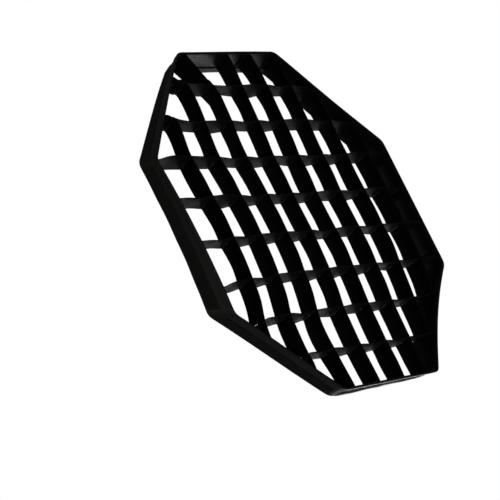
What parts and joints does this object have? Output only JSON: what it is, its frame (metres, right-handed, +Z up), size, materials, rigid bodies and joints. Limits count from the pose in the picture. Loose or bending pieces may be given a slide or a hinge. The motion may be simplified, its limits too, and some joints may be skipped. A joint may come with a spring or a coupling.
{
  "type": "fabric egg-crate grid",
  "caption": "Octagonal black fabric egg-crate grid that narrows a softbox's light: half-lapped upright and level strips inside a bound border with hook tape outside.",
  "frame": {"origin": "centre of the whole grid, halfway through the border's depth", "axes": "upright as used: -Y out of the open front, towards the subject; +Y back towards the softbox's diffuser; +Z up, through the top flat side; +X to the right as seen from the front"},
  "size_m": [0.56, 0.042, 0.56],
  "materials": {
    "border_fabric": "doubled black nylon oxford cloth with a satin face",
    "binding_tape": "black woven nylon binding tape folded over the front edge and lockstitched",
    "hook_tape": "black nylon hook tape, matt, with fine hooks standing outwards",
    "strip_fabric": "doubled black nylon cloth, matt, with a faint sheen at a grazing angle"
  },
  "bodies": {
    "cross_fabric": {"border_panel_top": "border_fabric", "front_binding_top": "binding_tape", "hook_tape_top": "hook_tape", "corner_fold_top_to_top_right": "border_fabric", "border_panel_top_right": "border_fabric", "front_binding_top_right": "binding_tape", "hook_tape_top_right": "hook_tape", "corner_fold_top_right_to_right": "border_fabric", "corner_fold_right_to_bottom_right": "border_fabric", "border_panel_bottom_right": "border_fabric", "front_binding_bottom_right": "binding_tape", "hook_tape_bottom_right": "hook_tape", "corner_fold_bottom_right_to_bottom": "border_fabric", "border_panel_bottom": "border_fabric", "front_binding_bottom": "binding_tape", "hook_tape_bottom": "hook_tape", "corner_fold_bottom_to_bottom_left": "border_fabric", "border_panel_bottom_left": "border_fabric", "front_binding_bottom_left": "binding_tape", "hook_tape_bottom_left": "hook_tape", "corner_fold_bottom_left_to_left": "border_fabric", "corner_fold_left_to_top_left": "border_fabric", "border_panel_top_left": "border_fabric", "front_binding_top_left": "binding_tape", "hook_tape_top_left": "hook_tape", "corner_fold_top_left_to_top": "border_fabric", "level_strip_1": "strip_fabric", "level_strip_2": "strip_fabric", "level_strip_3": "strip_fabric", "level_strip_4": "strip_fabric", "level_strip_5": "strip_fabric", "level_strip_6": "strip_fabric", "level_strip_7": "strip_fabric", "level_strip_8": "strip_fabric"},
    "left_side": {"border_panel_left": "border_fabric", "front_binding_left": "binding_tape", "hook_tape_left": "hook_tape"},
    "right_side": {"border_panel_right": "border_fabric", "front_binding_right": "binding_tape", "hook_tape_right": "hook_tape"},
    "upright_1": {"upright_strip_1": "strip_fabric"},
    "upright_2": {"upright_strip_2": "strip_fabric"},
    "upright_3": {"upright_strip_3": "strip_fabric"},
    "upright_4": {"upright_strip_4": "strip_fabric"},
    "upright_5": {"upright_strip_5": "strip_fabric"},
    "upright_6": {"upright_strip_6": "strip_fabric"},
    "upright_7": {"upright_strip_7": "strip_fabric"},
    "upright_8": {"upright_strip_8": "strip_fabric"}
  },
  "joints": [
    {"name": "left_side_gather", "type": "slide", "parent": "cross_fabric", "child": "left_side", "axis": [1, 0, 0], "range_m": [0, 0.194], "deforming": ["border_panel_top", "front_binding_top", "hook_tape_top", "corner_fold_top_to_top_right", "border_panel_top_right", "front_binding_top_right", "hook_tape_top_right", "corner_fold_top_right_to_right", "corner_fold_right_to_bottom_right", "border_panel_bottom_right", "front_binding_bottom_right", "hook_tape_bottom_right", "corner_fold_bottom_right_to_bottom", "border_panel_bottom", "front_binding_bottom", "hook_tape_bottom", "corner_fold_bottom_to_bottom_left", "border_panel_bottom_left", "front_binding_bottom_left", "hook_tape_bottom_left", "corner_fold_bottom_left_to_left", "corner_fold_left_to_top_left", "border_panel_top_left", "front_binding_top_left", "hook_tape_top_left", "corner_fold_top_left_to_top", "level_strip_1", "level_strip_2", "level_strip_3", "level_strip_4", "level_strip_5", "level_strip_6", "level_strip_7", "level_strip_8"]},
    {"name": "right_side_gather", "type": "slide", "parent": "cross_fabric", "child": "right_side", "axis": [-1, 0, 0], "range_m": [0, 0.194]},
    {"name": "upright_1_gather", "type": "slide", "parent": "cross_fabric", "child": "upright_1", "axis": [1, 0, 0], "range_m": [0, 0.1525]},
    {"name": "upright_2_gather", "type": "slide", "parent": "cross_fabric", "child": "upright_2", "axis": [1, 0, 0], "range_m": [0, 0.109]},
    {"name": "upright_3_gather", "type": "slide", "parent": "cross_fabric", "child": "upright_3", "axis": [1, 0, 0], "range_m": [0, 0.0654]},
    {"name": "upright_4_gather", "type": "slide", "parent": "cross_fabric", "child": "upright_4", "axis": [1, 0, 0], "range_m": [0, 0.0218]},
    {"name": "upright_5_gather", "type": "slide", "parent": "cross_fabric", "child": "upright_5", "axis": [-1, 0, 0], "range_m": [0, 0.0218]},
    {"name": "upright_6_gather", "type": "slide", "parent": "cross_fabric", "child": "upright_6", "axis": [-1, 0, 0], "range_m": [0, 0.0654]},
    {"name": "upright_7_gather", "type": "slide", "parent": "cross_fabric", "child": "upright_7", "axis": [-1, 0, 0], "range_m": [0, 0.109]},
    {"name": "upright_8_gather", "type": "slide", "parent": "cross_fabric", "child": "upright_8", "axis": [-1, 0, 0], "range_m": [0, 0.1525]}
  ],
  "couplings": [
    {"joint": "right_side_gather", "follows": "left_side_gather", "ratio": 1},
    {"joint": "upright_1_gather", "follows": "left_side_gather", "ratio": 0.78592},
    {"joint": "upright_2_gather", "follows": "left_side_gather", "ratio": 0.56137},
    {"joint": "upright_3_gather", "follows": "left_side_gather", "ratio": 0.33682},
    {"joint": "upright_4_gather", "follows": "left_side_gather", "ratio": 0.11227},
    {"joint": "upright_5_gather", "follows": "left_side_gather", "ratio": 0.11227},
    {"joint": "upright_6_gather", "follows": "left_side_gather", "ratio": 0.33682},
    {"joint": "upright_7_gather", "follows": "left_side_gather", "ratio": 0.56137},
    {"joint": "upright_8_gather", "follows": "left_side_gather", "ratio": 0.78592}
  ]
}
